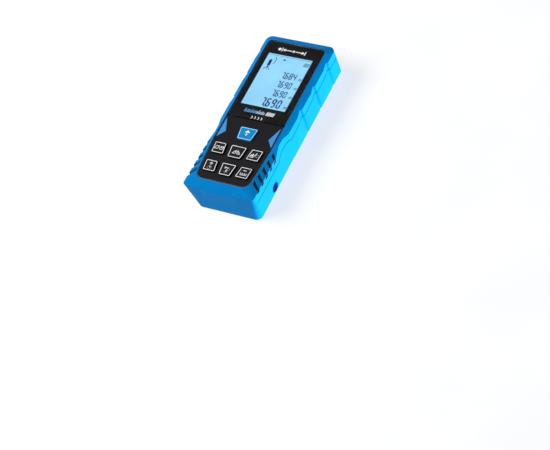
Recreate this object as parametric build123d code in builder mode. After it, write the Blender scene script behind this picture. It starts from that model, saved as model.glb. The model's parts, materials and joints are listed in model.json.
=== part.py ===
"""Pocket laser distance meter, lying on its back with the display up.

Frame: origin at the centre of the back face, +X to the right of the display,
+Y towards the end that the laser leaves by, +Z out of the display. Millimetres.
"""
from build123d import *
import os

os.makedirs("parts", exist_ok=True)

# ---- Driving dimensions ----------------------------------------------------

length = 124.8
thickness = 25.6            # back face to front panel
half_length = length / 2
back_low_y = -62.05         # bottom end at the back face and at the widest line
edge_low_y = -61.6
edge_top_y = 62.3

# Casing outline: half widths at the back face and at the widest line
back_half_width = 23.4
back_grip_half_width = 24.0  # back face at the bottom end
edge_half_width = 25.8
grip_half_width = 26.5      # widest line at the bottom end
edge_z = 23.4               # height of the widest line
bend_y = -26.0              # the sides taper below this line
parting_z = 16.6
parting_gap = 0.5

# Inside of the casing
floor_z = 2.0               # top of the back wall
ceiling_z = 22.7            # underside of the front wall
cavity_half_width = 21.4
cavity_half_length = 59.6
clearance = 0.1

# Front panel, which the lens and the keypad bezel share
panel_half_top = 21.65
panel_half_low = 19.5
panel_top_y = 57.8
panel_low_y = -55.6
panel_floor_z = 24.2
seam_y = -5.5
panel_bevel = 0.45

# Shallow grooves along both sides
groove_pitch = 19.5
groove_ys = [49.8 - groove_pitch * i for i in range(3)]
groove_depth = 1.1
groove_ramp = 6.4
groove_lean = 2.2
groove_rise = 1.4           # how far the parting line climbs at each groove
scoop_y = -8.7
scoop_depth = 2.0
scoop_length = 18.5

# Brow across the bottom end
brow_half_width = 13.4
brow_flat_half_width = 10.6
brow_y = -59.2
brow_low_z = 13.0

# Grip slots in the lower corners
slot_count = 5
slot_width = 2.8
slot_inner_y, slot_inner_pitch = -27.0, 5.62
slot_outer_y, slot_outer_pitch = -30.5, 5.95
skin = 1.1

# Keys
key_rise = 1.2
key_travel = 0.6
key_gap = 0.2
key_margin = 0.35           # cap edge outside the printed outline
key_lip = 0.6
stem_radius = 1.6
board_top_z = 19.0
board_thickness = 1.6
dome_height = 0.4

# Display
view_x = (-17.2, 15.9)
view_y = (5.7, 48.0)
lcd_half_width = 18.0
lcd_low_y = 3.8
lcd_top_y = 49.0

# Battery bay: three AAA cells side by side
cell_radius = 5.25
cell_length = 44.5
cell_pitch = 11.0
cell_z = 8.3
bay_half_width = 16.9
bay_low_y = -53.6
bay_top_y = -3.4
bay_roof_z = 14.2
bay_wall = 1.2
plate_thickness = 0.4
dimple_height = 1.1
cover_half_width = 18.4
cover_low_y = -54.5
cover_top_y = -1.9
cover_low_z = 0.15
cover_top_z = 1.75

# Tripod socket, 1/4"-20 thread
insert_y = 5.5
insert_radius = 4.5
insert_flange_radius = 5.6
thread_radius = 2.55
insert_low_z = 0.2
insert_shoulder_z = 8.0
thread_top_z = 7.2

# Strap hole in the right side
strap_y = -38.0
strap_z = 4.8
strap_radius = 3.5

# Optics
axis_z = 9.5
laser_x = -8.6
receiver_x = 5.2
chassis_low_y = 14.6
chassis_top_y = 57.6

# Fasteners
casing_screw_sites = [(x, y) for y in (53.6, -57.15) for x in (-17.9, 17.9)]
board_screw_sites = [(side * x, y) for x, y in ((14, -4.0), (9, 53.8), (9, -55.6)) for side in (1, -1)]
optics_screw_sites = [(x, y) for y in (20.0, 46.0) for x in (-16.8, 16.8)]
boss_radius = 2.2

# ---- Shared outlines -------------------------------------------------------


def outline(z, half_top, half_low, y_top, y_low, r_top, r_low):
    """Outline at height z: parallel sides above the bend and a straight taper below it."""
    with BuildSketch(Plane.XY.offset(z)) as shape:
        with BuildLine():
            Polyline((half_low, y_low), (half_top, bend_y), (half_top, y_top),
                     (-half_top, y_top), (-half_top, bend_y), (-half_low, y_low), close=True)
        make_face()
        fillet(shape.vertices().group_by(Axis.Y)[-1], r_top)
        fillet(shape.vertices().group_by(Axis.Y)[0], r_low)
    return shape.sketch


def panel_outline(z, grow=0.0):
    """Front panel's outline at height z, grown outwards."""
    return outline(z, panel_half_top + grow, panel_half_low + grow, panel_top_y + grow,
                   panel_low_y - grow, 3.0 + grow, 5.4 + grow)


def polygon(plane, points, corner=0.0):
    """Closed polygon on a plane, with its corners rounded."""
    with BuildSketch(plane) as shape:
        with BuildLine():
            Polyline(*points, close=True)
        make_face()
        if corner:
            fillet(shape.vertices(), corner)
    return shape.sketch


def block(x_range, y_range, z_range, mode=Mode.ADD):
    """Box between stated limits on each axis, in the active part."""
    size = [high - low for low, high in (x_range, y_range, z_range)]
    centre = [(low + high) / 2 for low, high in (x_range, y_range, z_range)]
    with Locations(tuple(centre)):
        Box(*size, mode=mode)


def rod(x, y, radius, z_range, mode=Mode.ADD):
    """Upright cylinder between two heights, in the active part."""
    low, high = z_range
    with Locations((x, y, (low + high) / 2)):
        Cylinder(radius, high - low, mode=mode)


def barrel(x, radius, y_range, mode=Mode.ADD):
    """Cylinder along the optical axis at x, between two places on it, in the active part."""
    low, high = y_range
    with Locations(Location((x, (low + high) / 2, axis_z), (90, 0, 0))):
        Cylinder(radius, high - low, mode=mode)


def rounded_block(width, height, radius, z_range, mode=Mode.ADD):
    """Upright block with a rounded rectangle for its plan, centred on the frame's axes."""
    low, high = z_range
    with BuildSketch(Plane.XY.offset(low)) as plan:
        RectangleRounded(width, height, radius)
    extrude(plan.sketch, amount=high - low, mode=mode)


# ---- Casing form, which both shells are cut from ---------------------------


def wall_x(z):
    """Half width of the upper casing at height z."""
    return back_half_width + (edge_half_width - back_half_width) * z / edge_z


def side_cut(side, z, y, depth, steps):
    """Plan of a cut into one side wall at height z: steps are (share of depth, distance along)."""
    x = wall_x(z)
    outer = x + 4
    points = [(side * outer, y)]
    points += [(side * (x - share * depth), y - run) for share, run in steps]
    points += [(side * outer, y - steps[-1][1])]
    return polygon(Plane.XY.offset(z), points)


low_z, high_z = -1.0, thickness + 1.0
groove_back_steps = [(0.0, 1.2), (1.0, 2.8), (0.0, groove_ramp)]
groove_front_steps = [(0.0, 0.0), (1.0, 0.7), (0.0, groove_ramp)]
scoop_steps = [(0.0, 0.0), (0.85, 0.28 * scoop_length), (1.0, 0.55 * scoop_length), (0.0, scoop_length)]

with BuildPart() as casing_form:
    back = outline(0, back_half_width, back_grip_half_width, half_length, back_low_y, 2.5, 4.6)
    edge = outline(edge_z, edge_half_width, grip_half_width, edge_top_y, edge_low_y, 4.4, 1.8)
    crown = panel_outline(thickness, 0.3)
    loft(sections=[back, edge], ruled=True)
    loft(sections=[edge, crown], ruled=True)
    fillet(casing_form.faces().sort_by(Axis.Z)[0].edges(), 1.1)

    # Grooves and the finger scoop, each leaning towards the laser end at the back
    for side in (-1, 1):
        for y in groove_ys:
            loft(sections=[side_cut(side, low_z, y + groove_lean, groove_depth * 0.8, groove_back_steps),
                           side_cut(side, high_z, y - 0.2, groove_depth, groove_front_steps)],
                 ruled=True, mode=Mode.SUBTRACT)
        loft(sections=[side_cut(side, low_z, scoop_y + groove_lean, scoop_depth * 0.2, scoop_steps),
                       side_cut(side, high_z, scoop_y - 0.2, scoop_depth, scoop_steps)],
             ruled=True, mode=Mode.SUBTRACT)

    # Bevelled brow across the middle of the bottom end
    block((-brow_half_width, brow_half_width), (-70, brow_y), (brow_low_z, thickness + 1), Mode.SUBTRACT)
    brow_foot = [(-61.8, brow_low_z), (-59.0, brow_low_z), (-59.0, 24.39), (brow_y, 24.32)]
    sections = []
    brow_end_tip, brow_tip = (edge_low_y, edge_z), (-half_length, 22.3)
    for x, tip in ((-brow_half_width, brow_end_tip), (-brow_flat_half_width, brow_tip),
                   (brow_flat_half_width, brow_tip), (brow_half_width, brow_end_tip)):
        sections.append(polygon(Plane.YZ.offset(x), brow_foot + [tip]))
    loft(sections=sections, ruled=True)

jog_points = []
for y in groove_ys:
    start = y + groove_lean * (1 - parting_z / edge_z)
    jog_points += [(start, 0.0), (start - 3.5, groove_rise)]
jog_points += [(scoop_y + 0.6, 0.1), (scoop_y - 1.6, 1.6), (scoop_y - 13.0, 1.6), (scoop_y - 17.5, 0.0)]


def below_parting(drop):
    """Block under the parting line, which jogs at each groove, lowered by drop."""
    reach = 40
    line = [(y, parting_z + rise - drop) for y, rise in jog_points]
    points = [(-half_length - 5, -5), (half_length + 5, -5), (half_length + 5, parting_z - drop)]
    end_drop = min(drop, 0.06)
    points += line + [(-58.4, parting_z - drop), (-59.2, parting_z - end_drop)]
    points += [(-half_length - 5, parting_z - end_drop)]
    with BuildPart() as region:
        extrude(polygon(Plane.YZ, points), amount=reach, both=True)
    return region.part


# ---- Keys: corners of each cap ---------------------------------------------

key_rows = {
    "upper": {"top": -27.7, "side_low": -35.4, "centre_low": -36.3, "outer": (17.6, 17.2),
              "inner": (9.9, 8.8), "half": (5.45, 4.45)},
    "lower": {"top": -41.8, "side_low": -49.4, "centre_low": -50.2, "outer": (16.9, 16.2),
              "inner": (9.1, 8.0), "half": (4.9, 3.8)},
}


def side_key(row, side):
    """Corners of the left (side -1) or right key of a row."""
    top, low = row["top"], row["side_low"]
    (outer_top, outer_low), (inner_top, inner_low) = row["outer"], row["inner"]
    return [(side * outer_top, top), (side * inner_top, top),
            (side * inner_low, low), (side * outer_low, low)]


def centre_key(top, low, half_top, half_low):
    """Corners of a key on the centre line."""
    return [(-half_top, top), (half_top, top), (half_low, low), (-half_low, low)]


upper, lower = key_rows["upper"], key_rows["lower"]
key_corners = {
    "ok_key": centre_key(-12.95, -21.65, 6.15, 4.9),
    "area_key": side_key(upper, -1),
    "pythagoras_key": centre_key(upper["top"], upper["centre_low"], *upper["half"]),
    "function_key": side_key(upper, 1),
    "plus_key": side_key(lower, -1),
    "clear_key": centre_key(lower["top"], lower["centre_low"], *lower["half"]),
    "minus_key": side_key(lower, 1),
}


def key_centre(corners):
    """Middle of a key's corners, where its stem stands."""
    xs = [x for x, _ in corners]
    ys = [y for _, y in corners]
    return sum(xs) / 4, sum(ys) / 4


key_centres = {node: key_centre(corners) for node, corners in key_corners.items()}


def key_shape(node, z, grow):
    """A key's outline at height z, grown outwards."""
    with BuildSketch(Plane.XY.offset(z)) as shape:
        add(polygon(Plane.XY, key_corners[node], 0.6))
        offset(amount=key_margin + grow)
    return shape.sketch


# ---- Casing shells ---------------------------------------------------------

cavity_size = (2 * cavity_half_width, 2 * cavity_half_length)
insert_inner_x = 21.5
grip_span = (-57.2, -25.2)
rib_depth = 0.45            # ribs of the grip inserts under the casing's skin


def grip_section(side, depth, inner_x, low):
    """Section of the casing's lower corner, from a given depth under the skin inwards."""
    return [(side * inner_x, low), (side * (wall_x(low) - depth + 0.1), low),
            (side * (edge_half_width - depth + 0.2), edge_z - 0.7 * depth),
            (side * 22.6, 24.75 - depth), (side * 22.6, ceiling_z + 0.9), (side * inner_x, ceiling_z - 0.1)]


def grip_block(side, depth, inner_x, low, y_range):
    """Grip section between two places along the casing."""
    section = polygon(Plane.XZ.offset(-y_range[1]), grip_section(side, depth, inner_x, low))
    return extrude(section, amount=y_range[1] - y_range[0], mode=Mode.PRIVATE)


def grip_slots(side, gap=0.0):
    """Prisms through the skin on one side, one for each slot, made smaller all round by the gap."""
    slot_plane = Plane(origin=(side * 18.72, 0, 24.96), x_dir=(side * 0.8, 0, -0.6),
                       z_dir=(side * 0.6, 0, 0.8))
    half = slot_width / 2 - gap
    prisms = []
    for i in range(slot_count):
        inner, outer = 3.84 - 0.45 * i + gap, 8.02 - 0.08 * i - gap
        inner_y = slot_inner_y - slot_inner_pitch * i
        outer_y = slot_outer_y - slot_outer_pitch * i
        slot = [(inner, inner_y + half), (inner, inner_y - half),
                (outer, outer_y - half), (outer, outer_y + half)]
        slot = polygon(slot_plane, [(across, side * y) for across, y in slot])
        prisms.append(extrude(slot, amount=6, mode=Mode.PRIVATE))
    return prisms


with BuildPart() as front_shell:
    add(casing_form.part)
    add(below_parting(0.0), mode=Mode.SUBTRACT)
    rounded_block(*cavity_size, 2.5, (0, ceiling_z), Mode.SUBTRACT)
    extrude(panel_outline(panel_floor_z, clearance), amount=5, mode=Mode.SUBTRACT)

    # Openings in the front wall for the display module and for the keys' lips
    block((-19.6, 19.6), (2.2, 50.4), (ceiling_z - 1, thickness), Mode.SUBTRACT)
    extrude(outline(ceiling_z - 1, 19.4, 18.0, -10.6, -52.4, 1.5, 1.5), amount=5, mode=Mode.SUBTRACT)

    # Bosses for the casing screws and for the board's screws
    for x, y in casing_screw_sites:
        rod(x, y, boss_radius, (8.0, ceiling_z + 0.5))
        rod(x, y, 0.85, (8.0, 20.0), Mode.SUBTRACT)
    for x, y in board_screw_sites:
        rod(x, y, 2.0, (board_top_z + 0.05, ceiling_z + 0.5))
        rod(x, y, 0.8, (board_top_z, 22.0), Mode.SUBTRACT)

    # Slots through the skin, and the pockets behind them that hold the grip inserts
    for side in (-1, 1):
        add(grip_block(side, skin, cavity_half_width - 0.5, 18.6, grip_span), mode=Mode.SUBTRACT)
        add(grip_slots(side), mode=Mode.SUBTRACT)

with BuildPart() as rear_shell:
    add(casing_form.part)
    add(below_parting(parting_gap), mode=Mode.INTERSECT)
    rounded_block(*cavity_size, 2.5, (floor_z, thickness), Mode.SUBTRACT)

    # Lip that stands up inside the front shell, open around the lower bosses and the end bezel
    rounded_block(42.9, 119.3, 2.5, (12.0, parting_z - parting_gap))
    rounded_block(42.6, 119.0, 2.4, (parting_z - parting_gap, 17.8))
    rounded_block(41.0, 117.4, 1.6, (10.0, thickness), Mode.SUBTRACT)
    block((-22, 22), (-60.5, -54.2), (parting_z - parting_gap, 18), Mode.SUBTRACT)
    block((-20.9, 20.9), (-cavity_half_length, -54.2), (11, 18), Mode.SUBTRACT)
    block((-16.7, 16.7), (57.0, cavity_half_length), (floor_z, 18), Mode.SUBTRACT)

    # Battery bay with its roof
    block((-bay_half_width - bay_wall, bay_half_width + bay_wall),
          (bay_low_y - bay_wall, bay_top_y + bay_wall), (1, bay_roof_z + 1.4))
    block((-bay_half_width, bay_half_width), (bay_low_y, bay_top_y), (-1, bay_roof_z), Mode.SUBTRACT)
    block((-cover_half_width - clearance, cover_half_width + clearance),
          (cover_low_y - clearance, cover_top_y + clearance), (-1, cover_top_z + clearance), Mode.SUBTRACT)
    for side in (-1, 1):
        block((side * 9 - 2.2, side * 9 + 2.2), (-56.8, bay_low_y + 0.1), (cover_top_z + clearance, 4.4),
              Mode.SUBTRACT)
    for x, y in ((-cell_pitch, bay_top_y - plate_thickness / 2),
                 (cell_pitch, bay_low_y + plate_thickness / 2)):
        block((x - 1.5, x + 1.5), (y - 0.3, y + 0.3), (bay_roof_z - 0.1, 18), Mode.SUBTRACT)

    # Posts for the casing screws, countersunk from the back, and for the optics
    for x, y in casing_screw_sites:
        rod(x, y, boss_radius, (1.0, 7.9))
        rod(x, y, 2.0, (-1.0, 3.5), Mode.SUBTRACT)
        rod(x, y, 1.1, (3.0, 8.5), Mode.SUBTRACT)
    for x, y in optics_screw_sites:
        rod(x, y, 2.2, (1.0, 7.95))
        rod(x, y, 0.8, (3.0, 8.5), Mode.SUBTRACT)

    # Boss for the tripod socket
    rod(0, insert_y, 6.6, (1.0, insert_shoulder_z + 1.2))
    rod(0, insert_y, insert_radius + 0.05, (-1, insert_shoulder_z), Mode.SUBTRACT)
    rod(0, insert_y, insert_flange_radius + clearance, (insert_shoulder_z, 12), Mode.SUBTRACT)

    # Window for the end bezel, and the label's shallow recess
    block((-15.1, 15.1), (57.0, 64.0), (2.9, 18), Mode.SUBTRACT)
    block((-15.1, 15.1), (17.0, 49.0), (-1, 0.3), Mode.SUBTRACT)

    # Strap loop: a passage from the right side to the back, round a moulded bar
    block((17.8, 22.5), (-43.8, -32.4), (floor_z - 0.1, 9.2))
    with Locations(Location((24.5, strap_y, strap_z), (0, 90, 0))):
        Cylinder(strap_radius, 5.0, mode=Mode.SUBTRACT)
    block((19.4, 22.2), (-42.0, -34.2), (2.2, 7.6), Mode.SUBTRACT)
    block((19.4, 21.4), (-42.0, -39.4), (-1, 3.0), Mode.SUBTRACT)

grip_inserts = {}
for side, node in ((-1, "grip_insert_left"), (1, "grip_insert_right")):
    with BuildPart() as insert:
        add(grip_block(side, skin + 0.05, insert_inner_x, 18.65,
                       (grip_span[0] + 0.1, grip_span[1] - 0.1)))
        ribs = grip_block(side, rib_depth, insert_inner_x, 18.65, (grip_span[0] + 0.1, grip_span[1] - 0.1))
        for prism in grip_slots(side, 0.06):
            add(ribs & prism)
    grip_inserts[node] = insert

# ---- Front panel -----------------------------------------------------------

with BuildPart() as display_lens:
    extrude(panel_outline(panel_floor_z + 0.2), amount=thickness - panel_floor_z - 0.2)
    block((-30, 30), (-70, seam_y), (20, 30), Mode.SUBTRACT)
    chamfer(display_lens.faces().sort_by(Axis.Z)[-1].edges(), panel_bevel)

with BuildPart() as display_mask:
    extrude(panel_outline(panel_floor_z + 0.02, -0.2), amount=0.15)
    block((-30, 30), (-70, seam_y + 0.1), (20, 30), Mode.SUBTRACT)
    block(view_x, view_y, (20, 30), Mode.SUBTRACT)

accent_corners = [(20.35, -7.4), (16.0, -17.8), (20.55, -23.3)]
accent_floor_z = thickness - 0.4

with BuildPart() as keypad_bezel:
    extrude(panel_outline(panel_floor_z + 0.05), amount=thickness - panel_floor_z - 0.05)
    block((-30, 30), (seam_y - 0.15, 70), (20, 30), Mode.SUBTRACT)
    chamfer(keypad_bezel.faces().sort_by(Axis.Z)[-1].edges(), panel_bevel)
    for node in key_corners:
        extrude(key_shape(node, 20, key_gap), amount=8, mode=Mode.SUBTRACT)
    for side in (-1, 1):
        pocket = polygon(Plane.XY.offset(accent_floor_z), [(side * x, y) for x, y in accent_corners])
        extrude(pocket, amount=1, mode=Mode.SUBTRACT)

accents = {}
for side, node in ((-1, "accent_left"), (1, "accent_right")):
    with BuildPart() as accent:
        shape = polygon(Plane.XY.offset(accent_floor_z + 0.02), [(side * x, y) for x, y in accent_corners])
        extrude(offset(shape, amount=-0.05, mode=Mode.PRIVATE), amount=0.38)
    accents[node] = accent

# ---- Keypad ----------------------------------------------------------------

mat_top_z = 22.3
lip_z = (23.0, 23.85)
stem_low_z = board_top_z + dome_height + key_travel + 0.05

keys = {}
for node in key_corners:
    with BuildPart() as key:
        extrude(key_shape(node, lip_z[0], 0), amount=thickness + key_rise - lip_z[0])
        fillet(key.faces().sort_by(Axis.Z)[-1].edges(), 0.35)
        extrude(key_shape(node, lip_z[0], key_lip), amount=lip_z[1] - lip_z[0])
        rod(*key_centres[node], stem_radius, (stem_low_z, lip_z[0] + 0.2))
    keys[node] = key

with BuildPart() as keypad_mat:
    extrude(outline(mat_top_z - 1.0, 18.6, 17.4, -9.2, -53.0, 1.5, 1.5), amount=1.0)
    extrude(outline(board_top_z + 0.05, 18.6, 17.4, -9.2, -53.0, 1.5, 1.5), amount=2.6)
    extrude(outline(board_top_z, 17.4, 16.2, -10.4, -51.8, 0.5, 0.5), amount=mat_top_z - 1.0 - board_top_z,
            mode=Mode.SUBTRACT)
    for x, y in key_centres.values():
        rod(x, y, stem_radius + 0.4, (18, 24), Mode.SUBTRACT)

with BuildPart() as snap_domes:
    for x, y in key_centres.values():
        rod(x, y, 3.0, (board_top_z, board_top_z + dome_height))
    chamfer(snap_domes.faces().group_by(Axis.Z)[-1].edges(), 0.25)

# ---- Display module --------------------------------------------------------

with BuildPart() as lcd_frame:
    block((-19.4, 19.4), (2.4, 50.2), (board_top_z + 0.1, 24.1))
    block((-18.2, 18.2), (3.6, 49.2), (20.0, 25), Mode.SUBTRACT)
    block((-16.4, 16.4), (3.6, 47.6), (18, 25), Mode.SUBTRACT)

with BuildPart() as lcd_backlight:
    block((-lcd_half_width, lcd_half_width), (7.2, lcd_top_y), (20.05, 21.75))

with BuildPart() as lcd_glass:
    block((-lcd_half_width, lcd_half_width), (lcd_low_y, lcd_top_y), (21.8, 22.9))
    block((-lcd_half_width, lcd_half_width), (lcd_low_y + 1.4, lcd_top_y), (22.8, 23.9))

with BuildPart() as lcd_connector:
    block((-15.5, 15.5), (4.2, 6.8), (board_top_z + 0.02, 21.78))

# ---- Main board ------------------------------------------------------------

board_low_z = board_top_z - board_thickness

with BuildPart() as main_board:
    block((-17.8, 17.8), (-53.5, 50.4), (board_low_z, board_top_z))
    block((-13.4, 13.4), (-57.6, 56.2), (board_low_z, board_top_z))
    for x, y in board_screw_sites:
        rod(x, y, 0.95, (board_low_z - 1, board_top_z + 1), Mode.SUBTRACT)

with BuildPart() as processor_chip:
    block((-4.5, 4.5), (-20.5, -11.5), (board_low_z - 1.15, board_low_z - 0.05))
    chamfer(processor_chip.faces().sort_by(Axis.Z)[0].edges(), 0.2)

with BuildPart() as buzzer:
    rod(-12.0, 8.0, 4.2, (board_low_z - 2.4, board_low_z - 0.02))
    rod(-12.0, 8.0, 0.8, (board_low_z - 3.0, board_low_z - 1.6), Mode.SUBTRACT)

with BuildPart() as board_screws:
    for x, y in board_screw_sites:
        rod(x, y, 1.65, (board_low_z - 1.2, board_low_z - 0.02))
        rod(x, y, 0.75, (board_low_z - 0.1, 21.4))
        rod(x, y, 0.5, (board_low_z - 1.3, board_low_z - 0.6), Mode.SUBTRACT)

# ---- Optics ----------------------------------------------------------------

ear_low_z, ear_top_z = 8.0, 10.0

with BuildPart() as optics_chassis:
    block((-14.0, 13.6), (chassis_low_y, chassis_top_y), (3.0, 16.0))
    chamfer(optics_chassis.edges().filter_by(Axis.Y), 1.2)
    for x, y in optics_screw_sites:
        inner = -12.0 if x < 0 else 12.0
        block((min(x, inner), max(x, inner)), (y - 2.3, y + 2.3), (ear_low_z, ear_top_z))
        rod(x, y, 2.3, (ear_low_z, ear_top_z))
        rod(x, y, 0.95, (ear_low_z - 1, ear_top_z + 1), Mode.SUBTRACT)
    barrel(laser_x, 3.55, (chassis_low_y - 1, chassis_top_y + 1), Mode.SUBTRACT)
    barrel(receiver_x, 5.4, (24.0, chassis_top_y + 1), Mode.SUBTRACT)
    barrel(receiver_x, 2.6, (chassis_low_y - 1, 25.0), Mode.SUBTRACT)

with BuildPart() as laser_barrel:
    barrel(laser_x, 3.5, (26.0, 52.0))
    chamfer(laser_barrel.edges().sort_by(Axis.Y)[-1], 0.4)
    barrel(laser_x, 2.4, (25.0, 53.0), Mode.SUBTRACT)

with BuildPart() as laser_diode:
    barrel(laser_x, 2.9, (24.6, 25.9))
    barrel(laser_x, 2.3, (25.5, 28.6))

with BuildPart() as collimator_lens:
    barrel(laser_x, 2.35, (49.6, 51.2))
    fillet(collimator_lens.edges().sort_by(Axis.Y)[-1], 0.6)

with BuildPart() as receiver_lens:
    barrel(receiver_x, 5.35, (52.4, 55.2))
    fillet(receiver_lens.edges().sort_by(Axis.Y)[-1], 2.0)

with BuildPart() as receiver_board:
    block((-12.5, 12.5), (13.0, 14.2), (3.2, 15.8))

with BuildPart() as photodiode:
    barrel(receiver_x, 2.4, (14.25, 17.2))

with BuildPart() as optics_screws:
    for x, y in optics_screw_sites:
        rod(x, y, 1.65, (ear_top_z + 0.02, ear_top_z + 1.3))
        rod(x, y, 0.75, (4.0, ear_top_z + 0.1))
        rod(x, y, 0.5, (ear_top_z + 0.7, ear_top_z + 2), Mode.SUBTRACT)

bezel_bore = {"laser": (laser_x, 2.4, 3.25), "receiver": (receiver_x, 5.2, 6.0)}

with BuildPart() as end_bezel:
    block((-15.0, 15.0), (58.4, 62.0), (3.0, 16.1))
    chamfer(end_bezel.faces().sort_by(Axis.Y)[-1].edges(), 0.3)
    block((-16.4, 16.4), (58.3, cavity_half_length - 0.1), (2.15, 16.3))
    for x, radius, seat in bezel_bore.values():
        barrel(x, radius, (57, 63), Mode.SUBTRACT)
        barrel(x, seat, (57, 60.1), Mode.SUBTRACT)

windows = {}
for end, (x, _, seat) in bezel_bore.items():
    with BuildPart() as window:
        barrel(x, seat - 0.05, (59.2, 60.05))
    windows[end + "_window"] = window

# ---- Batteries and cover ---------------------------------------------------

contact_low_y = bay_low_y + plate_thickness
contact_top_y = bay_top_y - plate_thickness
cells = {}
for index, x in enumerate((-cell_pitch, 0.0, cell_pitch)):
    towards = -1 if index == 1 else 1
    tip_y = contact_top_y - dimple_height if towards > 0 else contact_low_y + dimple_height
    shoulder_y = tip_y - towards * 1.1
    end_y = tip_y - towards * cell_length
    with BuildPart() as cell:
        with Locations(Location((x, (shoulder_y + end_y) / 2, cell_z), (90, 0, 0))):
            Cylinder(cell_radius, abs(shoulder_y - end_y))
        fillet(cell.edges().filter_by(GeomType.CIRCLE), 0.5)
        with Locations(Location((x, (tip_y + shoulder_y) / 2 - towards * 0.1, cell_z), (90, 0, 0))):
            Cylinder(1.9, 1.1 + 0.2)
    cells["battery_cell_%d" % (index + 1)] = cell

with BuildPart() as contact_plates:
    pad = 4.2
    spans = [((-cell_pitch - pad, pad), contact_low_y),
             ((cell_pitch - pad, cell_pitch + pad), contact_low_y),
             ((-cell_pitch - pad, -cell_pitch + pad), bay_top_y), ((-pad, cell_pitch + pad), bay_top_y)]
    for x_range, y in spans:
        block(x_range, (y - plate_thickness + 0.02, y - 0.02), (4.0, 12.6))
    for x, y in ((-cell_pitch, bay_top_y), (cell_pitch, contact_low_y)):
        block((x - 1.2, x + 1.2), (y - plate_thickness + 0.02, y - 0.02), (12.0, board_low_z - 0.05))
    for x, y_range in ((-cell_pitch, (contact_top_y - dimple_height + 0.05, contact_top_y + 0.1)),
                       (cell_pitch, (contact_top_y - dimple_height + 0.05, contact_top_y + 0.1)),
                       (0.0, (contact_low_y - 0.1, contact_low_y + dimple_height - 0.05))):
        with Locations(Location((x, sum(y_range) / 2, cell_z), (90, 0, 0))):
            Cylinder(1.5, y_range[1] - y_range[0])

spring_height = (bay_top_y - bay_low_y) - 2 * plate_thickness - cell_length - dimple_height - 0.1
spring_wire = 0.25
with BuildPart() as contact_springs:
    for x, y, towards in ((-cell_pitch, contact_low_y, 1), (0.0, contact_top_y, -1),
                          (cell_pitch, contact_low_y, 1)):
        with BuildLine() as coil:
            Helix(pitch=(spring_height - 0.7) / 3, height=spring_height - 0.7, radius=3.2,
                  center=(x, y + towards * 0.35, cell_z), direction=(0, towards, 0))
        with BuildSketch(Plane(origin=coil.line @ 0, z_dir=coil.line % 0)):
            Circle(spring_wire)
        sweep(path=coil.line, is_frenet=True)

with BuildPart() as battery_cover:
    with BuildSketch(Plane.XY.offset(cover_low_z)):
        with Locations((0, (cover_low_y + cover_top_y) / 2)):
            Rectangle(2 * cover_half_width, cover_top_y - cover_low_y)
    extrude(amount=cover_top_z - cover_low_z)
    for side in (-1, 1):
        block((side * 9 - 1.9, side * 9 + 1.9), (-56.2, -54.0), (cover_top_z + 0.35, cover_top_z + 1.25))
        block((side * 9 - 1.9, side * 9 + 1.9), (-54.4, -53.7), (cover_top_z - 0.5, cover_top_z + 1.25))
    # Finger latch: a tongue freed by a U-shaped cut, with a ribbed thumb pad
    block((-6.6, 6.6), (-9.6, cover_top_y + 1), (-1, 3), Mode.SUBTRACT)
    block((-5.9, 5.9), (-10.0, cover_top_y), (cover_low_z + 0.25, cover_top_z))
    for y in (-3.4, -4.9, -6.4):
        block((-4.4, 4.4), (y - 0.4, y + 0.4), (cover_low_z, cover_low_z + 0.4))

with BuildPart() as cover_pad:
    block((-14.5, 14.5), (-48.0, -12.0), (cover_top_z + 0.02, cover_top_z + 1.1))

# ---- Tripod socket, casing screws and label --------------------------------

with BuildPart() as tripod_insert:
    rod(0, insert_y, insert_radius, (insert_low_z, insert_shoulder_z + 0.5))
    rod(0, insert_y, insert_flange_radius, (insert_shoulder_z + 0.02, insert_shoulder_z + 1.1))
    rod(0, insert_y, thread_radius, (insert_low_z - 1, thread_top_z), Mode.SUBTRACT)
    chamfer(tripod_insert.faces().sort_by(Axis.Z)[0].edges(), 0.3)

with BuildPart() as casing_screws:
    for x, y in casing_screw_sites:
        rod(x, y, 1.8, (1.9, 3.48))
        rod(x, y, 0.8, (3.4, 16.0))
        rod(x, y, 0.6, (1.0, 2.7), Mode.SUBTRACT)

with BuildPart() as rear_label:
    with BuildSketch(Plane.XY.offset(0.12)):
        with Locations((0, 33.0)):
            RectangleRounded(29.6, 31.4, 1.0)
    extrude(amount=0.16)

# ---- Export ----------------------------------------------------------------

pieces = {
    "front_shell": front_shell, "rear_shell": rear_shell, **grip_inserts,
    "display_lens": display_lens, "display_mask": display_mask, "keypad_bezel": keypad_bezel, **accents,
    **keys, "keypad_mat": keypad_mat, "snap_domes": snap_domes,
    "lcd_frame": lcd_frame, "lcd_backlight": lcd_backlight, "lcd_glass": lcd_glass,
    "lcd_connector": lcd_connector, "main_board": main_board, "processor_chip": processor_chip,
    "buzzer": buzzer, "board_screws": board_screws, "optics_chassis": optics_chassis,
    "laser_barrel": laser_barrel, "laser_diode": laser_diode, "collimator_lens": collimator_lens,
    "receiver_lens": receiver_lens, "receiver_board": receiver_board, "photodiode": photodiode,
    "optics_screws": optics_screws, "end_bezel": end_bezel, **windows, **cells,
    "contact_plates": contact_plates, "contact_springs": contact_springs,
    "battery_cover": battery_cover, "cover_pad": cover_pad, "tripod_insert": tripod_insert,
    "casing_screws": casing_screws, "rear_label": rear_label,
}
for node, piece in pieces.items():
    piece.part.label = node
    export_step(piece.part, f"parts/{node}.step")
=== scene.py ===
"""Looks for the laser distance meter: materials, printed graphics, lit display, floor, lights and camera.

Outlines are written in millimetres in the frame of the CAD, and MM turns them into metres.
"""
import bpy
import bmesh
import json
import math
from mathutils import Matrix, Vector


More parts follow.
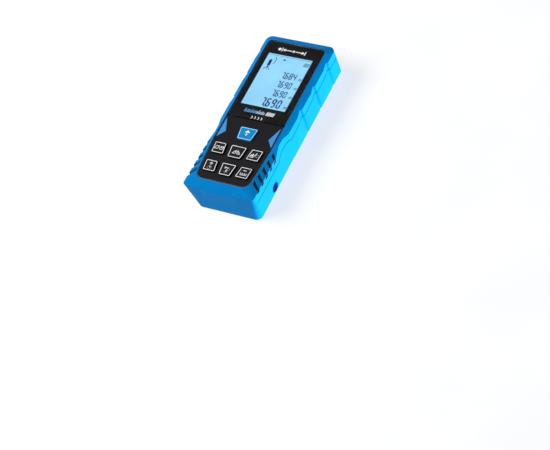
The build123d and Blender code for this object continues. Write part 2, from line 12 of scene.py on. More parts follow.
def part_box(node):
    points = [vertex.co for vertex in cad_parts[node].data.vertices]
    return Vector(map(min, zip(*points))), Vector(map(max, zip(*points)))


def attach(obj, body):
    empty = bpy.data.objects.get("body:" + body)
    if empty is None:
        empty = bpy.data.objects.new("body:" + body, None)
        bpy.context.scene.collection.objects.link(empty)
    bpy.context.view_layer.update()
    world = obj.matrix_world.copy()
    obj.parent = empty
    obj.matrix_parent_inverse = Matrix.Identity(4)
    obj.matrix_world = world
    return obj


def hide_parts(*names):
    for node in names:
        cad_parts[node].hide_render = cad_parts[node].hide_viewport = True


MM = 0.001
BLACK, WHITE = (0, 0, 0), (1, 1, 1)
BEVEL_HIGHLIGHT_GREY = (0.110, 0.100, 0.102)   # painted highlight on the bevel round the front panel
SEAM_BLACK = (0.004, 0.003, 0.004)  # the same bevel beside the seam between lens and keypad, left dark without the painted highlight
SEAM_Y = (-10.5, -0.5)              # stretch of the bevel with that seam in its middle
CELL_ROW_X = (-16.5, 16.5)          # the three battery cells, side by side
CELL_ROW_Y = (-52.0, -4.0)
INK_THICKNESS = 0.006

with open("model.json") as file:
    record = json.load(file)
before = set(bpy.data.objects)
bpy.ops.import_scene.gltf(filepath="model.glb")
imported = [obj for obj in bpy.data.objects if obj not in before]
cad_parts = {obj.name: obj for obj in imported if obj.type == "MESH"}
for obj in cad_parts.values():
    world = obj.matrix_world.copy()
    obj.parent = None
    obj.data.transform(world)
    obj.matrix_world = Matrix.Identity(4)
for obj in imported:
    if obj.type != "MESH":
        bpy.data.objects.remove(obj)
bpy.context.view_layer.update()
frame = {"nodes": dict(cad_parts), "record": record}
nodes = frame["nodes"]


# ---- Material graphs -------------------------------------------------------

class Graph:
    """A material whose Principled shader gets its inputs by keyword."""

    def __init__(self, name, **inputs):
        self.material = bpy.data.materials.new(name)
        self.material.use_nodes = True
        self.tree = self.material.node_tree
        self.shader = self.tree.nodes["Principled BSDF"]
        self.set(self.shader, inputs)
        self.place = self.add("ShaderNodeTexCoord").outputs["Object"]

    def set(self, node, inputs):
        for key, value in inputs.items():
            socket = node.inputs[key.replace("_", " ")]
            if isinstance(value, bpy.types.NodeSocket):
                self.tree.links.new(value, socket)
            else:
                socket.default_value = value

    def add(self, kind, settings=None, **inputs):
        node = self.tree.nodes.new(kind)
        for key, value in (settings or {}).items():
            setattr(node, key, value)
        self.set(node, inputs)
        return node

    def noise(self, size, detail=3.0, roughness=0.5, stretch=None):
        """Noise from 0 to 1 with features of that size in millimetres."""
        place = self.place
        if stretch:
            place = self.add("ShaderNodeMapping", Vector=place, Scale=stretch).outputs["Vector"]
        node = self.add("ShaderNodeTexNoise", Vector=place, Scale=1 / (size * MM), Detail=detail,
                        Roughness=roughness)
        return node.outputs["Fac"]

    def ramp(self, factor, stops):
        """Colour ramp over a factor: stops are (position, colour)."""
        node = self.add("ShaderNodeValToRGB", Fac=factor)
        elements = node.color_ramp.elements
        while len(elements) < len(stops):
            elements.new(0.5)
        for element, (position, colour) in zip(elements, stops):
            element.position = position
            element.color = (*colour, 1)
        return node.outputs["Color"]

    def span(self, factor, low, high, start=0.0, end=1.0):
        """A factor between start and end mapped to the range from low to high."""
        node = self.add("ShaderNodeMapRange", Value=factor, From_Min=start, From_Max=end,
                        To_Min=low, To_Max=high)
        return node.outputs["Result"]

    def blend(self, factor, first, second):
        """One colour where the factor is 0, another where it is 1."""
        node = self.add("ShaderNodeMix", {"data_type": "RGBA"})
        sockets = {socket.identifier: socket for socket in (*node.inputs, *node.outputs)}
        self.tree.links.new(factor, sockets["Factor_Float"])
        self.tree.links.new(first, sockets["A_Color"])
        self.tree.links.new(second, sockets["B_Color"])
        return sockets["Result_Color"]

    def paint_bevel_highlight(self, base, bevel_highlight):
        """Base colour, with a painted highlight in the given colour on the sloping faces of the panel's
        edge, and dark at its seam.

        Also returns a factor that is 1 on those faces.
        """
        normal = self.add("ShaderNodeNewGeometry").outputs["True Normal"]
        rise = self.add("ShaderNodeSeparateXYZ", Vector=normal).outputs["Z"]
        sloping = self.ramp(rise, [(0.3, BLACK), (0.4, WHITE), (0.9, WHITE), (0.95, BLACK)])
        along = self.along("Y", SEAM_Y)
        tone = self.ramp(along, [(0.38, bevel_highlight), (0.40, SEAM_BLACK), (0.60, SEAM_BLACK), (0.62, bevel_highlight)])
        return self.blend(sloping, base, tone), sloping

    def along(self, letter, reach):
        """A factor from 0 to 1 along an axis, between two places in millimetres."""
        distance = self.add("ShaderNodeSeparateXYZ", Vector=self.place).outputs[letter]
        return self.span(distance, 0, 1, reach[0] * MM, reach[1] * MM)

    def bump(self, height, depth, edge=0.0):
        """Bump whose full height is depth millimetres, with edges softened to a radius in millimetres."""
        node = self.add("ShaderNodeBump", Height=height, Distance=depth * MM, Strength=1.0)
        if edge:
            soft = self.add("ShaderNodeBevel", {"samples": 4}, Radius=edge * MM)
            self.set(node, {"Normal": soft.outputs["Normal"]})
        return node.outputs["Normal"]


def tones(colour, spread):
    """A darker and a lighter version of a colour, for a ramp."""
    return tuple(c * (1 - spread) for c in colour), tuple(min(1.0, c * (1 + spread)) for c in colour)


def moulded(name, colour, roughness, grain, depth, spread=0.06, specular=0.35, edge=0.0, patch=14.0,
            bevel_highlight=None, **extra):
    """Moulded plastic or rubber: a spark-eroded grain, with slight changes of tone and gloss.

    Grain and patch are the sizes of its fine and wide variation, depth is the grain's height and edge
    the radius that its edges are softened to, all in millimetres.
    """
    graph = Graph(name, Specular_IOR_Level=specular, **extra)
    wide = graph.noise(patch)
    fine = graph.noise(grain, detail=4.0, roughness=0.65)
    dark, light = tones(colour, spread)
    base = graph.ramp(wide, [(0.3, dark), (0.7, light)])
    # painted highlight on the sloping faces of the panel's edge
    if bevel_highlight:
        base, _ = graph.paint_bevel_highlight(base, bevel_highlight)
    graph.set(graph.shader, {
        "Base Color": base,
        "Roughness": graph.span(wide, roughness - 0.05, roughness + 0.05),
        "Normal": graph.bump(fine, depth, edge),
    })
    return graph.material


def metal(name, colour, roughness, stretch, grain=0.4):
    """Worked metal: fine tool marks along the stretch, with duller and brighter patches."""
    graph = Graph(name, Metallic=1.0)
    marks = graph.noise(grain, detail=5.0, roughness=0.7, stretch=stretch)
    wide = graph.noise(4.0)
    dark, light = tones(colour, 0.10)
    graph.set(graph.shader, {
        "Base Color": graph.ramp(wide, [(0.25, dark), (0.75, light)]),
        "Roughness": graph.span(marks, roughness - 0.08, roughness + 0.10),
        "Normal": graph.bump(marks, 0.004),
    })
    return graph.material


def clear(name, colour, roughness, ior, smudge=0.05, spread=0.02, bevel_highlight=None):
    """Polished clear piece with faint handling marks, and a painted highlight on its bevel, made opaque
    there, if a highlight colour is given.
    """
    graph = Graph(name, Transmission_Weight=1.0, IOR=ior, Specular_IOR_Level=0.3)
    marks = graph.noise(9.0, detail=5.0)
    dark, light = tones(colour, spread)
    base = graph.ramp(marks, [(0.3, dark), (0.7, light)])
    if bevel_highlight:
        # painted highlight on the bevel, which is made opaque so that it shows
        base, bevel = graph.paint_bevel_highlight(base, bevel_highlight)
        graph.set(graph.shader, {"Transmission Weight": graph.span(bevel, 1.0, 0.0)})
    graph.set(graph.shader, {
        "Base Color": base,
        "Roughness": graph.span(marks, roughness, roughness + smudge, 0.5, 0.8),
    })
    return graph.material


def glowing(name, colour, strength, spread=0.05, patch=20.0, body=(0.02, 0.03, 0.05)):
    """Backlit layer: an even glow with a slight drift of tone."""
    graph = Graph(name, Roughness=0.4, Emission_Strength=strength, Specular_IOR_Level=0.2)
    wide = graph.noise(patch, detail=2.0)
    dark, light = tones(colour, spread)
    body_dark, body_light = tones(body, 0.2)
    graph.set(graph.shader, {
        "Emission Color": graph.ramp(wide, [(0.3, dark), (0.7, light)]),
        "Base Color": graph.ramp(wide, [(0.3, body_dark), (0.7, body_light)]),
    })
    return graph.material


def printed(name, colour, roughness=0.55, specular=0.25):
    """Screen-printed ink: slightly uneven in cover, with a faint orange-peel surface."""
    graph = Graph(name, Specular_IOR_Level=specular)
    cover = graph.noise(1.2, detail=4.0)
    dark, light = tones(colour, 0.08)
    graph.set(graph.shader, {
        "Base Color": graph.ramp(cover, [(0.3, dark), (0.7, light)]),
        "Roughness": graph.span(cover, roughness - 0.06, roughness + 0.06),
        "Normal": graph.bump(cover, 0.002),
    })
    return graph.material


def battery_wrap():
    """Printed sleeve over a steel can: a silver body with a dark band at the button end of each cell."""
    graph = Graph("battery_wrap", Metallic=0.65, Specular_IOR_Level=0.5)
    marks = graph.noise(0.5, detail=4.0, stretch=(1, 0.05, 1))
    across, along = graph.along("X", CELL_ROW_X), graph.along("Y", CELL_ROW_Y)
    middle = graph.ramp(across, [(0.33, BLACK), (0.34, WHITE), (0.66, WHITE), (0.67, BLACK)])
    band, can = (0.055, 0.075, 0.105), (0.46, 0.48, 0.51)
    low_band = graph.ramp(along, [(0.28, band), (0.30, can)])
    top_band = graph.ramp(along, [(0.72, can), (0.74, band)])
    graph.set(graph.shader, {
        "Base Color": graph.blend(middle, top_band, low_band),
        "Roughness": graph.span(marks, 0.24, 0.38),
        "Normal": graph.bump(marks, 0.004),
    })
    return graph.material


def circuit_board():
    """Green solder resist over darker laminate, with the copper pattern showing faintly through."""
    graph = Graph("circuit_board", Specular_IOR_Level=0.5, Coat_Weight=0.3, Coat_Roughness=0.2)
    brick = graph.add("ShaderNodeTexBrick", Vector=graph.place, Scale=120.0, Color1=(0.010, 0.090, 0.035, 1),
                      Color2=(0.008, 0.070, 0.028, 1), Mortar=(0.020, 0.150, 0.060, 1), Mortar_Size=0.03)
    weave = graph.noise(0.5, detail=3.0)
    graph.set(graph.shader, {
        "Base Color": brick.outputs["Color"],
        "Roughness": graph.span(weave, 0.30, 0.45),
        "Normal": graph.bump(brick.outputs["Fac"], 0.02),
    })
    return graph.material


def foam():
    """Closed-cell foam: small open skin cells."""
    graph = Graph("foam_black", Roughness=0.95, Specular_IOR_Level=0.1, Sheen_Weight=0.15)
    cells = graph.add("ShaderNodeTexVoronoi", Vector=graph.place, Scale=1800.0).outputs["Distance"]
    graph.set(graph.shader, {
        "Base Color": graph.ramp(cells, [(0.0, (0.012, 0.012, 0.013)), (0.6, (0.040, 0.040, 0.042))]),
        "Normal": graph.bump(cells, 0.12),
    })
    return graph.material


looks = {
    "casing_blue": moulded("casing_blue", (0.0, 0.162, 0.440), 0.52, 0.35, 0.010, edge=0.5, specular=0.03,
                           Specular_Tint=(0.15, 0.55, 1.0, 1)),
    "grip_rubber": moulded("grip_rubber", (0.012, 0.013, 0.018), 0.70, 0.5, 0.03, spread=0.15, edge=0.2,
                           specular=0.3),
    # The lens and the keypad bezel get a painted highlight on the bevel round the front panel.
    "clear_acrylic": clear("clear_acrylic", (0.97, 0.98, 0.985), 0.02, 1.30, bevel_highlight=BEVEL_HIGHLIGHT_GREY),
    "mask_black": printed("mask_black", (0.0016, 0.0010, 0.0018), 0.6, specular=0.08),
    "bezel_black": moulded("bezel_black", (0.0058, 0.0046, 0.0058), 0.55, 0.22, 0.006, edge=0.15,
                           specular=0.13, bevel_highlight=BEVEL_HIGHLIGHT_GREY),
    "accent_blue": moulded("accent_blue", (0.040, 0.250, 0.600), 0.30, 0.4, 0.003, spread=0.10),
    "key_rubber": moulded("key_rubber", (0.0066, 0.0054, 0.0066), 0.62, 0.30, 0.010, spread=0.12,
                          specular=0.15),
    "key_blue": moulded("key_blue", (0.0, 0.205, 0.490), 0.55, 0.30, 0.008, spread=0.05, specular=0.08),
    "spring_steel": metal("spring_steel", (0.70, 0.70, 0.72), 0.22, (1, 1, 8)),
    "frame_white": moulded("frame_white", (0.80, 0.80, 0.79), 0.5, 0.4, 0.008),
    "light_guide": glowing("light_guide", (0.40, 0.72, 0.95), 0.6, body=(0.6, 0.65, 0.7)),
    "lcd": glowing("lcd", (0.283, 0.660, 0.960), 1.06, spread=0.06),
    "connector_rubber": moulded("connector_rubber", (0.16, 0.16, 0.16), 0.8, 0.3, 0.02, spread=0.25,
                                patch=1.0),
    "circuit_board": circuit_board(),
    "chip_black": moulded("chip_black", (0.020, 0.020, 0.021), 0.6, 0.15, 0.010),
    "screw_steel": metal("screw_steel", (0.52, 0.52, 0.54), 0.30, (1, 1, 5), grain=0.25),
    "chassis_black": moulded("chassis_black", (0.018, 0.018, 0.020), 0.65, 0.3, 0.03, spread=0.2),
    "brass": metal("brass", (0.78, 0.56, 0.22), 0.26, (1, 1, 6), grain=0.3),
    "diode_metal": metal("diode_metal", (0.85, 0.68, 0.36), 0.20, (1, 6, 1), grain=0.3),
    "lens_glass": clear("lens_glass", (0.93, 0.95, 0.99), 0.01, 1.52, smudge=0.02),
    "receiver_filter": clear("receiver_filter", (0.42, 0.035, 0.06), 0.02, 1.52, smudge=0.03, spread=0.08),
    "battery_jacket": battery_wrap(),
    "nickel_plate": metal("nickel_plate", (0.66, 0.64, 0.60), 0.28, (6, 1, 1)),
    "foam_black": foam(),
    "label_black": moulded("label_black", (0.018, 0.018, 0.020), 0.38, 0.8, 0.004, spread=0.10,
                           specular=0.45),
}
ink = {
    "white_ink": printed("white_ink", (0.78, 0.80, 0.82)),
    "grey_ink": printed("grey_ink", (0.40, 0.42, 0.44)),
    "pale_blue_ink": printed("pale_blue_ink", (0.42, 0.66, 0.86)),
    "sky_ink": printed("sky_ink", (0.14, 0.38, 0.66)),
    "lcd_ink": glowing("lcd_ink", (0.0, 0.008, 0.110), 1.0, spread=0.2, patch=4.0,
                       body=(0.002, 0.004, 0.020)),
    "lcd_shade": glowing("lcd_shade", (0.120, 0.330, 0.640), 1.0, spread=0.1, patch=8.0),
}

slots = {part["node"]: part["material_slot"] for part in frame["record"]["subparts"]}
for node, slot_name in slots.items():
    mesh = nodes[node].data
    mesh.materials.clear()
    mesh.materials.append(looks[slot_name])


# ---- Flat graphics ---------------------------------------------------------

def solid_from(polygons, low, high):
    """Mesh of thin prisms over closed outlines given in millimetres."""
    mesh = bmesh.new()
    for outline in polygons:
        area = sum(a[0] * b[1] - b[0] * a[1] for a, b in zip(outline, outline[1:] + outline[:1]))
        if area < 0:
            outline = outline[::-1]
        under = [mesh.verts.new((x * MM, y * MM, low * MM)) for x, y in outline]
        over = [mesh.verts.new((x * MM, y * MM, high * MM)) for x, y in outline]
        mesh.faces.new(over)
        mesh.faces.new(under[::-1])
        for i in range(len(outline)):
            j = (i + 1) % len(outline)
            mesh.faces.new((under[i], under[j], over[j], over[i]))
    return mesh


def print_on(name, body, material, polygons, z, thickness=INK_THICKNESS):
    """A printed graphic, lying on a face that looks along +Z, or along -Z if the thickness is negative."""
    mesh = solid_from(polygons, min(z, z + thickness), max(z, z + thickness))
    data = bpy.data.meshes.new(name)
    mesh.to_mesh(data)
    mesh.free()
    data.materials.append(material)
    piece = bpy.data.objects.new(name, data)
    bpy.context.scene.collection.objects.link(piece)
    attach(piece, body)


def stroke(points, width, closed=False):
    """Line of that width through points, as one quad to each run."""
    runs = list(zip(points, points[1:] + points[:1])) if closed else list(zip(points, points[1:]))
    quads = []
    for (x1, y1), (x2, y2) in runs:
        span = math.hypot(x2 - x1, y2 - y1)
        ux, uy = (x2 - x1) / span * width / 2, (y2 - y1) / span * width / 2
        quads.append([(x1 - ux + uy, y1 - uy - ux), (x2 + ux + uy, y2 + uy - ux),
                      (x2 + ux - uy, y2 + uy + ux), (x1 - ux - uy, y1 - uy + ux)])
    return quads


def arc(x, y, radius, start, end, count=16):
    """Points round part of a circle, between two angles in degrees."""
    turns = [math.radians(start + (end - start) * i / count) for i in range(count + 1)]
    return [(x + radius * math.cos(t), y + radius * math.sin(t)) for t in turns]


def disc(x, y, radius):
    """Outline of a disc, as 16 corners."""
    return arc(x, y, radius, 0, 360 * 15 / 16, 15)


def rectangle(x1, y1, x2, y2):
    """Outline of a rectangle between two opposite corners."""
    return [(x1, y1), (x2, y1), (x2, y2), (x1, y2)]


def ring(corners, width, rounding):
    """Closed printed line round an outline with rounded corners, as one quad to each run."""
    loops = []
    for inset in (0.0, width):
        loop = []
        for i, (x, y) in enumerate(corners):
            (px, py), (nx, ny) = corners[i - 1], corners[(i + 1) % len(corners)]
            a = Vector((px - x, py - y)).normalized()
            b = Vector((nx - x, ny - y)).normalized()
            half = a.angle(b) / 2
            middle = (a + b).normalized()
            centre = Vector((x, y)) + middle * (rounding / math.sin(half))
            reach = rounding - inset
            start = math.degrees(math.atan2(-middle.y, -middle.x))
            swing = 90 - math.degrees(half)
            turn = 1 if a.x * b.y - a.y * b.x < 0 else -1
            loop += arc(centre.x, centre.y, reach, start - turn * swing, start + turn * swing, 4)
        loops.append(loop)
    outer, inner = loops
    count = len(outer)
    return [[outer[i], outer[(i + 1) % count], inner[(i + 1) % count], inner[i]] for i in range(count)]


# ---- Keys: printed outlines and symbols ------------------------------------

PANEL_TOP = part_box("keypad_bezel")[1][2] / MM
KEY_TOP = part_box("area_key")[1][2] / MM
OUTLINE_LINE, OUTLINE_ROUNDING = 0.38, 0.55
LINE = 0.46  # widths of the lines in the symbols, from here down
MEDIUM_LINE = LINE * 0.85
THIN_LINE = LINE * 0.8
DIAL_LINE = 0.36
HAND_LINE = 0.32
RULER_LINE = 0.3
OK_LINE = 0.5


def side_key(side, top, low, outer, inner):
    """Corners of a key beside the middle one: outer and inner are how far out its sides are at each end."""
    return [(side * outer[0], top), (side * inner[0], top), (side * inner[1], low), (side * outer[1], low)]


def centre_key(top, low, half):
    """Corners of a key in the middle: half is half its width at each end."""
    return [(-half[0], top), (half[0], top), (half[1], low), (-half[1], low)]


upper_pair = {"top": -27.7, "low": -35.4, "outer": (17.6, 17.2), "inner": (9.9, 8.8)}
lower_pair = {"top": -41.8, "low": -49.4, "outer": (16.9, 16.2), "inner": (9.1, 8.0)}
key_corners = {
    "ok_key": centre_key(-12.95, -21.65, (6.15, 4.9)),
    "area_key": side_key(-1, **upper_pair),
    "pythagoras_key": centre_key(-27.7, -36.3, (5.45, 4.45)),
    "function_key": side_key(1, **upper_pair),
    "plus_key": side_key(-1, **lower_pair),
    "clear_key": centre_key(-41.8, -50.2, (4.9, 3.8)),
    "minus_key": side_key(1, **lower_pair),
}


def clock(x, y, radius):
    dial = arc(x, y, radius, 0, 360, 18)
    hands = [(x, y + radius * 0.6), (x, y), (x + radius * 0.5, y)]
    return stroke(dial, DIAL_LINE) + stroke(hands, HAND_LINE)


def power_sign(x, y, radius):
    open_ring = arc(x, y, radius, 125, 415, 16)
    upright = [(x, y + radius * 0.35), (x, y + radius * 1.35)]
    return stroke(open_ring, DIAL_LINE) + stroke(upright, DIAL_LINE)


def ruler(x, y, length, height, steps):
    """Ruler whose marks are full height and shorter in turn."""
    marks = stroke([(x, y), (x + length, y)], RULER_LINE)
    for i in range(steps + 1):
        at = x + length * i / steps
        marks += stroke([(at, y), (at, y + height * (1.0 if i % 2 == 0 else 0.6))], RULER_LINE)
    return marks


def cuboid(x, y, wide, high, shift):
    """Outline drawing of a box, with its back shifted up and to the right."""
    front = rectangle(x, y, x + wide, y + high)
    back = [(px + shift, py + shift * 0.7) for px, py in front]
    lines = stroke(front, THIN_LINE, True)
    lines += stroke([front[3], back[3], back[2], back[1], front[1]], THIN_LINE)
    return lines + stroke([front[2], back[2]], THIN_LINE)


def minus_sign(x, y):
    return stroke([(x - 0.9, y), (x + 0.9, y)], LINE)


def ok_symbol(x, y):
    """Arrow head over a power sign."""
    arrow = [(x - 1.9, y + 0.9), (x + 1.9, y + 0.9), (x, y + 2.7)]
    open_ring = arc(x, y - 1.5, 1.2, 130, 410, 16)
    return [arrow] + stroke(open_ring, OK_LINE) + stroke([(x, y - 1.4), (x, y + 0.1)], OK_LINE)


def area_symbol(x, y):
    """Slanted area beside a box, for area and volume."""
    slab = [(x - 3.2, y - 1.0), (x - 0.9, y - 1.0), (x - 0.1, y + 1.1), (x - 2.4, y + 1.1)]
    return stroke(slab, THIN_LINE, True) + cuboid(x + 0.6, y - 1.2, 1.8, 1.6, 0.9)


def pythagoras_symbol(x, y):
    """Two right-angled triangles."""
    left = [(x - 2.7, y - 1.3), (x - 0.5, y - 1.3), (x - 0.5, y + 1.3)]
    right = [(x + 0.6, y + 1.3), (x + 0.6, y - 1.3), (x + 2.9, y - 1.3)]
    return stroke(left, MEDIUM_LINE, True) + stroke(right, MEDIUM_LINE, True)


def function_symbol(x, y):
    """Two bars on a base line, a slanting line and a ring."""
    bars = [rectangle(x - 2.9, y - 1.2, x - 2.1, y), rectangle(x - 1.7, y - 1.2, x - 0.9, y + 0.9)]
    base = stroke([(x - 3.0, y - 1.8), (x - 0.4, y - 1.8)], THIN_LINE)
    slant = stroke([(x - 0.2, y - 0.9), (x + 1.0, y + 1.6)], LINE)
    return bars + base + slant + stroke(arc(x + 1.9, y - 0.4, 0.95, 0, 360, 14), MEDIUM_LINE)


def plus_symbol(x, y):
    """Plus sign over a clock."""
    return minus_sign(x, y + 1.6) + stroke([(x, y + 0.7), (x, y + 2.5)], LINE) + clock(x, y - 1.5, 1.25)


def clear_symbol(x, y):
    """Arrow that turns back, over a power sign."""
    hook = [(x - 2.0, y + 1.2), (x + 1.2, y + 1.2)] + arc(x + 1.2, y + 0.4, 0.8, 90, -90, 8)
    head = [(x - 2.5, y + 1.2), (x - 1.3, y + 0.3), (x - 1.3, y + 2.1)]
    return stroke(hook + [(x - 0.2, y - 0.4)], LINE) + [head] + power_sign(x, y - 2.3, 0.95)


def minus_symbol(x, y):
    """Minus sign over a ruler."""
    return minus_sign(x, y + 1.6) + ruler(x - 2.2, y - 1.9, 4.4, 1.6, 6)


symbols = {"ok_key": ok_symbol, "area_key": area_symbol, "pythagoras_key": pythagoras_symbol,
           "function_key": function_symbol, "plus_key": plus_symbol, "clear_key": clear_symbol,
           "minus_key": minus_symbol}
for node, corners in key_corners.items():
    middle_x = sum(x for x, _ in corners) / len(corners)
    middle_y = sum(y for _, y in corners) / len(corners)
    outline_ink = "pale_blue_ink" if node == "ok_key" else "white_ink"
    outline = ring(corners, OUTLINE_LINE, OUTLINE_ROUNDING)
    print_on(node + "_outline", node, ink[outline_ink], outline, KEY_TOP)
    symbol = symbols[node](middle_x, middle_y)
    print_on(node + "_symbol", node, ink["white_ink"], symbol, KEY_TOP)

# ---- Window: generic scale marks where the panel is printed ----------------

ARROW_Y, ARROW_HALF = 51.7, 1.2
above, below = ARROW_Y + ARROW_HALF, ARROW_Y - ARROW_HALF
top_marks = [disc(-10.6, ARROW_Y, 1.1)]
for side in (-1, 1):
    top_marks += stroke([(side * 1.6, ARROW_Y), (side * 6.4, ARROW_Y)], 0.55)
    top_marks.append([(side * 6.2, above), (side * 8.0, ARROW_Y), (side * 6.2, below)])
    top_marks += stroke([(side * 8.6, below), (side * 8.6, above)], 0.6)
top_marks.append([(-0.9, ARROW_Y), (0, ARROW_Y - 1.1), (0.9, ARROW_Y), (0, ARROW_Y + 1.1)])
print_on("dimension_arrow", "casing", ink["white_ink"], top_marks, PANEL_TOP)

SCALE_FOOT, SCALE_STEP = -0.5, 1.02
SKY_COUNT, PALE_COUNT, WHITE_COUNT = 9, 6, 6


def scale_mark(x, half, height, lean):
    """One mark of the scale, with its top leaning to the right."""
    top = SCALE_FOOT + height
    return [(x - half, SCALE_FOOT), (x + half, SCALE_FOOT), (x + half + lean, top), (x - half + lean, top)]


scale = {"sky_ink": [], "pale_blue_ink": [], "white_ink": []}
for i in range(SKY_COUNT + PALE_COUNT):
    tall = (3.0, 1.8, 2.4, 2.4, 1.8)[i % 5]
    shade = "sky_ink" if i < SKY_COUNT else "pale_blue_ink"
    scale[shade].append(scale_mark(-11.2 + SCALE_STEP * i, 0.24, tall, tall * 0.2))
for i in range(WHITE_COUNT):
    scale["white_ink"].append(scale_mark(5.0 + SCALE_STEP * i, 0.3, 2.8, 0.5))
for shade, marks in scale.items():
    print_on("scale_" + shade, "casing", ink[shade], marks, PANEL_TOP)

chevrons = []
for i in range(4):
    x = -3.9 + 2.4 * i
    chevrons += stroke([(x, -2.9), (x + 0.8, -3.7), (x, -4.5)], 0.48)
print_on("chevrons", "casing", ink["white_ink"], chevrons, PANEL_TOP)

# ---- Display: figures and signs on the lit layer ---------------------------

LCD_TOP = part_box("lcd_glass")[1][2] / MM
SEGMENTS = {"0": "abcdef", "4": "bcfg", "6": "acdefg", "7": "abc", "8": "abcdefg", "9": "abcdfg"}
FIGURE_LEAN = 0.05
METRE_LINE = 0.36
METRE_X = 13.2
SMALL_FIGURE = {"wide": 2.30, "high": 5.2, "pitch": 2.87, "width": 0.68}
LARGE_FIGURE = {"wide": 3.10, "high": 6.9, "pitch": 3.95, "width": 0.98}


def bar(start, end, width):
    """One segment with pointed ends."""
    (x1, y1), (x2, y2) = start, end
    span = math.hypot(x2 - x1, y2 - y1)
    ux, uy = (x2 - x1) / span * width / 2, (y2 - y1) / span * width / 2
    return [(x1, y1), (x1 + ux + uy, y1 + uy - ux), (x2 - ux + uy, y2 - uy - ux), (x2, y2),
            (x2 - ux - uy, y2 - uy + ux), (x1 + ux - uy, y1 + uy + ux)]


def figure(digit, x, y, wide, high, width):
    """Seven-segment figure, leaning to the right."""
    half = width / 2
    left, right, low, mid, top = half, wide - half, half, high / 2, high - half
    ends = {
        "a": ((left, top), (right, top)),
        "b": ((right, top), (right, mid)),
        "c": ((right, mid), (right, low)),
        "d": ((left, low), (right, low)),
        "e": ((left, mid), (left, low)),
        "f": ((left, top), (left, mid)),
        "g": ((left, mid), (right, mid)),
    }
    bars = []
    for name in SEGMENTS[digit]:
        shape = bar(*ends[name], width)
        bars.append([(x + px + py * FIGURE_LEAN, y + py) for px, py in shape])
    return bars


def reading(digits, x, y, wide, high, pitch, width):
    """Row of figures, with a point after the first."""
    shapes = [disc(x + wide + (pitch - wide) * 0.55, y + width * 0.55, width * 0.62)]
    for i, digit in enumerate(digits):
        shapes += figure(digit, x + pitch * i, y, wide, high, width)
    return shapes


def metre_sign(x, y, size):
    """Small letter m, for metres."""
    top = y + size * 0.8
    legs = []
    for i in range(3):
        foot = x + size * 0.5 * i
        legs += stroke([(foot, y), (x + size * (0.5 * i + 0.08), top)], METRE_LINE)
    return legs + stroke([(x + size * 0.08, top), (x + size * 1.08, top)], METRE_LINE)


figures = []
for digits, y in (("7684", 30.5), ("7690", 23.2), ("7690", 15.9)):
    figures += reading(digits, -0.4, y, **SMALL_FIGURE)
    figures += metre_sign(METRE_X, y + 0.6, 1.6)
figures += reading("7690", -4.6, 7.1, **LARGE_FIGURE)
figures += metre_sign(METRE_X, 8.0, 1.8)
print_on("lcd_figures", "casing", ink["lcd_ink"], figures, LCD_TOP)

# A meter on three legs with its swing beside it, then a beam sign and a battery sign.
signs = [rectangle(-14.4, 38.4, -12.3, 42.6), disc(-13.35, 42.5, 1.05), rectangle(-13.8, 37.2, -12.9, 38.6)]
for foot in (-15.5, -13.2, -11.2):
    signs += stroke([(-13.3, 37.6), (foot, 35.2)], 0.46)
signs += stroke(arc(-13.8, 43.0, 4.0, -40, 44, 8), 0.44)
signs += [disc(-4.3, 44.7, 0.6), rectangle(-3.7, 44.1, -3.0, 45.2)]
for i in range(4):
    signs += stroke([(11.2 + 1.05 * i, 42.9), (11.9 + 1.05 * i, 45.1)], 0.5)
signs += stroke([(11.0, 42.7), (14.6, 42.7)], 0.34)
print_on("lcd_signs", "casing", ink["lcd_ink"], signs, LCD_TOP)
top_shade = [rectangle(-17.4, 47.1, 16.4, 47.5)]
print_on("lcd_edge_shade", "casing", ink["lcd_shade"], top_shade, LCD_TOP)

# ---- Battery cover: foam pad -----------------------------------------------

EDGE_HEIGHT = 0.45  # height of the pad's rim, as a share of its crown's
END_PULL = 0.02     # how far its ends are drawn in between the corners, as a share of its size

pad_low, pad_high = (Vector(corner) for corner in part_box("cover_pad"))
pad_middle, pad_size = (pad_low + pad_high) / 2, pad_high - pad_low
pad_mesh = bmesh.new()
bmesh.ops.create_grid(pad_mesh, x_segments=24, y_segments=30, size=0.5)
for vert in pad_mesh.verts:
    u, v = vert.co.x * 2, vert.co.y * 2
    crown = (1 - abs(u) ** 10) * (1 - abs(v) ** 10)
    pull = 1 - END_PULL * (1 - u * u) * abs(v) ** 6
    vert.co.x = pad_middle.x + u / 2 * pad_size.x * pull
    vert.co.y = pad_middle.y + v / 2 * pad_size.y * pull
    vert.co.z = pad_low.z + pad_size.z * (EDGE_HEIGHT + (1 - EDGE_HEIGHT) * crown)
extruded = bmesh.ops.extrude_face_region(pad_mesh, geom=list(pad_mesh.faces))
for item in extruded["geom"]:
    if isinstance(item, bmesh.types.BMVert):
        item.co.z = pad_low.z
bmesh.ops.recalc_face_normals(pad_mesh, faces=list(pad_mesh.faces))
pad_mesh.verts.index_update()
vert_count = len(pad_mesh.verts)


def face_place(face):
    """Place of a face in a fixed order, since extruding leaves the order of the new faces open."""
    corners = [vert.index for vert in face.verts]
    return min(corners) * vert_count + max(corners)


pad_mesh.faces.sort(key=face_place)
pad_data = bpy.data.meshes.new("foam_pad")
pad_mesh.to_mesh(pad_data)
pad_mesh.free()
pad_data.materials.append(looks["foam_black"])
for face in pad_data.polygons:
    face.use_smooth = True
foam_pad = bpy.data.objects.new("foam_pad", pad_data)
bpy.context.scene.collection.objects.link(foam_pad)
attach(foam_pad, "battery_cover")
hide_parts("cover_pad")

# ---- Rear label: plain ruled blocks ----------------------------------------

LABEL_MARGIN, LABEL_INDENT = 1.6, 2.0
HEADER_HEIGHT, HEADER_RULER_DROP = 8.0, 5.6
ROW_FOOT, ROW_STEP = 3.2, 3.6
FRAME_LINE, ROW_LINE = 0.25, 0.22

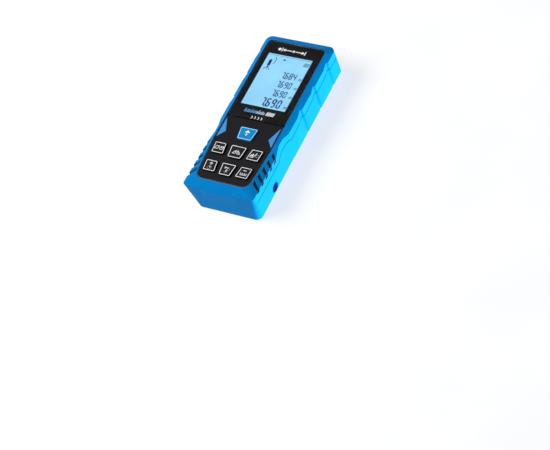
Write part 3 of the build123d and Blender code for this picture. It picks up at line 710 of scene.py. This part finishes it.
label_low, label_high = (tuple(c / MM for c in corner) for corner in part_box("rear_label"))
left, right = label_low[0] + LABEL_MARGIN, label_high[0] - LABEL_MARGIN
bottom, upper = label_low[1] + LABEL_MARGIN, label_high[1] - LABEL_MARGIN
header = upper - HEADER_HEIGHT
row_start = left + LABEL_INDENT
rules = stroke(rectangle(left, bottom, right, upper), FRAME_LINE, True)
rules += stroke([(left, header), (right, header)], FRAME_LINE)
rules += ruler(row_start, upper - HEADER_RULER_DROP, right - left - 2 * LABEL_INDENT, 2.6, 24)
for i in range(4):
    y = bottom + ROW_FOOT + ROW_STEP * i
    row_end = right - LABEL_INDENT - 4.5 * (i % 2)
    rules += stroke([(row_start, y), (row_end, y)], ROW_LINE)
print_on("rear_label_rules", "casing", ink["grey_ink"], rules, label_low[2], -INK_THICKNESS)

# ---- Floor, lights and camera ----------------------------------------------

FLOOR_HALF = 4.0
FLOOR_DROP = 0.0001  # keeps the floor just clear of the casing's back

floor_mesh = bpy.data.meshes.new("floor")
floor_corners = [(x * FLOOR_HALF, y * FLOOR_HALF, 0) for x, y in rectangle(-1, -1, 1, 1)]
floor_mesh.from_pydata(floor_corners, [], [(0, 1, 2, 3)])
floor = bpy.data.objects.new("floor", floor_mesh)
bpy.context.scene.collection.objects.link(floor)
floor.location.z = -FLOOR_DROP
# The softbox at the right shines from below the floor's level, so the floor lets its light through.
floor.visible_shadow = False
floor_graph = Graph("floor_paper", Roughness=0.9, Specular_IOR_Level=0.05, Emission_Strength=0.72)
floor_tone = floor_graph.noise(60)
floor_graph.set(floor_graph.shader, {
    "Base Color": floor_graph.ramp(floor_tone, [(0.3, (0.25, 0.252, 0.254)), (0.7, (0.27, 0.272, 0.274))]),
    "Emission Color": floor_graph.ramp(floor_tone, [(0.3, (0.97, 0.98, 0.99)), (0.7, WHITE)]),
})
floor_mesh.materials.append(floor_graph.material)


def softbox(name, place, aim, size, power):
    """Rectangular light at a place in metres, facing another, with its power in watts."""
    data = bpy.data.lights.new(name, "AREA")
    data.shape = "RECTANGLE"
    data.size, data.size_y = size
    data.energy = power
    lamp = bpy.data.objects.new(name, data)
    lamp.location = place
    lamp.rotation_euler = (Vector(aim) - Vector(place)).to_track_quat("-Z", "Y").to_euler()
    bpy.context.scene.collection.objects.link(lamp)


softbox("right_softbox", (1.40, 0.10, -0.55), (0, 0, 0.01), (1.0, 0.5), 88)
softbox("front_softbox", (-1.00, -0.45, 1.25), (0, 0, 0), (1.2, 0.9), 37)
softbox("overhead", (-0.3, 0.3, 1.8), (0, 0, 0), (1.6, 1.6), 4)

world = bpy.data.worlds.new("studio")
world.use_nodes = True
background = world.node_tree.nodes["Background"]
background.inputs["Color"].default_value = (0.95, 0.97, 1.0, 1)
background.inputs["Strength"].default_value = 0.24
bpy.context.scene.world = world
bpy.context.scene.view_settings.view_transform = "Standard"

CAMERA_PLACE = (0.6088, -0.5539, 0.9193)
camera_data = bpy.data.cameras.new("camera")
camera_data.sensor_width = 36
camera_data.lens = 124.4
camera_data.clip_start = 0.01
camera = bpy.data.objects.new("camera", camera_data)
right_axis = Vector((0.85045569, 0.43183394, -0.30040734))
up_axis = Vector((-0.20928909, 0.80168198, 0.55991435))
back_axis = Vector((0.48262117, -0.41331037, 0.77217313))
turn = Matrix((right_axis, up_axis, back_axis)).transposed().to_4x4()
camera.matrix_world = Matrix.Translation(CAMERA_PLACE) @ turn
bpy.context.scene.collection.objects.link(camera)
bpy.context.scene.camera = camera
